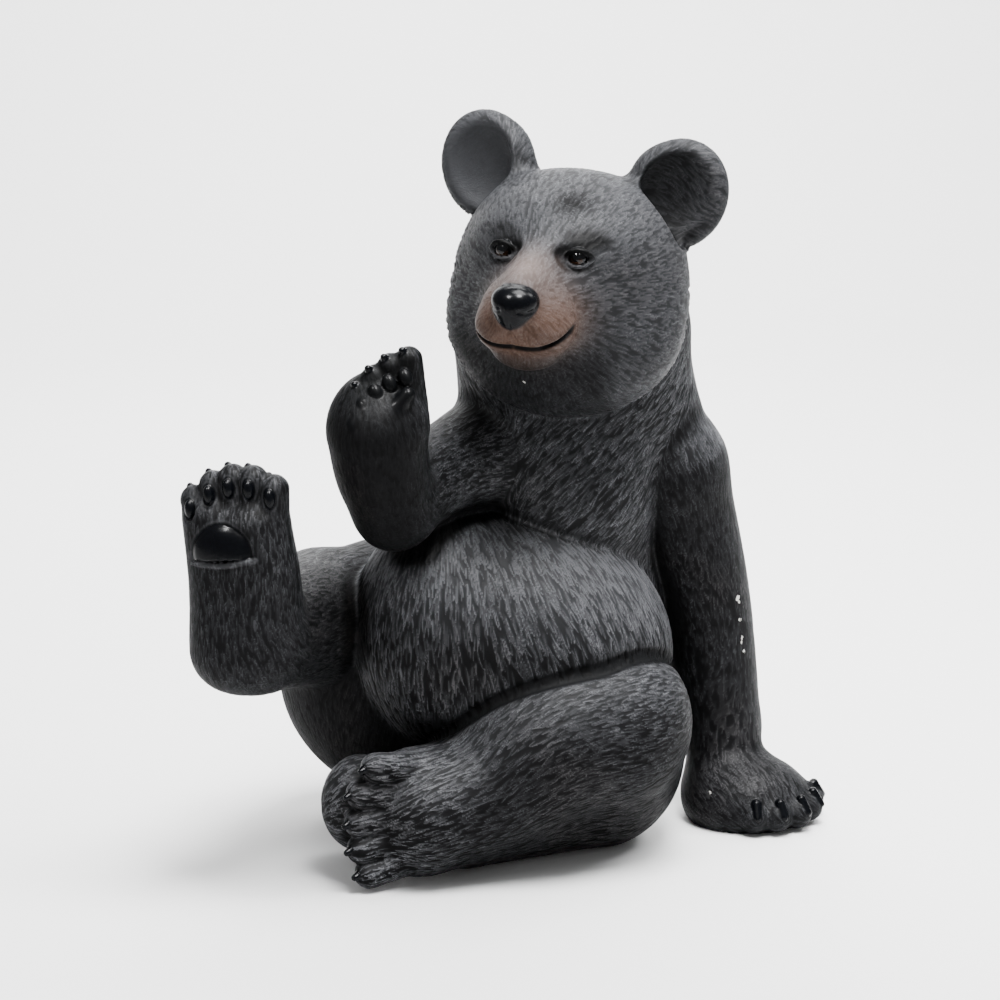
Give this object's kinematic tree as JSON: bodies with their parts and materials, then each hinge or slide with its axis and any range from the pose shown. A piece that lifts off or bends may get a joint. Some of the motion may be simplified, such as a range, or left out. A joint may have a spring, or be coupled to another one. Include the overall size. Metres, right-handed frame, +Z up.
{
  "type": "bear statue",
  "caption": "Seated bear cub statue leaning on its left arm, right paw raised and right sole shown, cast in one piece with a flat underside.",
  "frame": {"origin": "on the ground, under the middle of the statue's overall box", "axes": "+Z up; the bear's body faces -Y; its left arm, on which it leans, is at +X"},
  "size_m": [0.3578, 0.2364, 0.4109],
  "materials": {
    "fur": "painted cast resin, charcoal black with grey dry-brushed fur"
  },
  "bodies": {
    "root": {"bear": "fur"}
  },
  "joints": []
}
